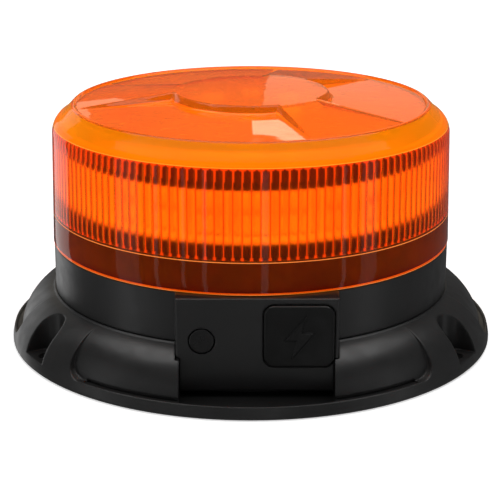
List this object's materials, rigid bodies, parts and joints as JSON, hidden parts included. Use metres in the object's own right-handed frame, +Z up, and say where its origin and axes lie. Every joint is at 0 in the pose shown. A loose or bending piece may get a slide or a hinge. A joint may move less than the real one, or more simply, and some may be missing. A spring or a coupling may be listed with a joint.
{
  "type": "led warning beacon",
  "caption": "Round amber LED warning beacon: fluted lens on a black magnetic base with a bolt-down flange, push button and hinged cover over its charging port.",
  "frame": {"origin": "centre of the resting face, on the lens's axis", "axes": "+Z up along the lens's axis, control panel facing -Y, +X to the right when facing the panel"},
  "size_m": [0.1526, 0.1526, 0.0786],
  "materials": {
    "amber_lens": "clear amber polycarbonate, glossy outside and fluted inside",
    "black_shell": "fine-grained black moulded ABS",
    "black_rubber": "soft black rubber",
    "black_carrier": "black moulded plastic",
    "white_board": "white solder mask",
    "green_board": "green solder mask",
    "black_chip": "black moulded electronic parts",
    "led": "yellow phosphor LED chips",
    "reflector": "metallised reflector",
    "heat_sink": "extruded aluminium",
    "steel": "zinc-plated steel",
    "nickel": "nickel plate",
    "cell_wrap": "shrink-wrapped cell",
    "wire": "insulated lead",
    "strap": "woven strap"
  },
  "bodies": {
    "base": {"lens": "amber_lens", "lens_seal": "black_rubber", "base_housing": "black_shell", "mounting_flange": "black_shell", "base_seal": "black_rubber", "rubber_base_pad": "black_rubber", "magnet_cups": "steel", "magnets": "nickel", "base_screws": "steel", "button_seal": "black_rubber", "tact_switch": "black_chip", "cover_anchor": "black_rubber", "usb_port_shell": "nickel", "usb_port_tongue": "black_chip", "control_board": "green_board", "control_board_chips": "black_chip", "control_screws": "steel", "battery_cell_front": "cell_wrap", "battery_cell_rear": "cell_wrap", "battery_tray": "black_carrier", "battery_strap": "strap", "battery_contacts": "nickel", "lead_harness": "wire", "driver_board": "green_board", "driver_board_parts": "black_chip", "driver_screws": "steel", "led_carrier": "black_carrier", "carrier_screws": "steel", "led_strip_board": "white_board", "leds": "led", "led_reflector": "reflector", "heat_sink": "heat_sink", "top_board": "white_board", "top_board_spacers": "nickel", "top_screws": "steel", "top_leds": "led", "top_board_parts": "black_chip"},
    "button": {"power_button": "black_shell", "switch_plunger": "black_chip"},
    "charge_flap": {"usb_cover": "black_rubber"}
  },
  "joints": [
    {"name": "button_press", "type": "slide", "parent": "base", "child": "button", "axis": [0, 1, 0], "range_m": [0, 0.0007], "stiffness_N_per_m": 1500},
    {"name": "cover_hinge", "type": "hinge", "parent": "base", "child": "charge_flap", "pos_m": [0.01365, -0.064, 0.0116], "axis": [1, 0, 0], "range_deg": [0, 110]}
  ]
}
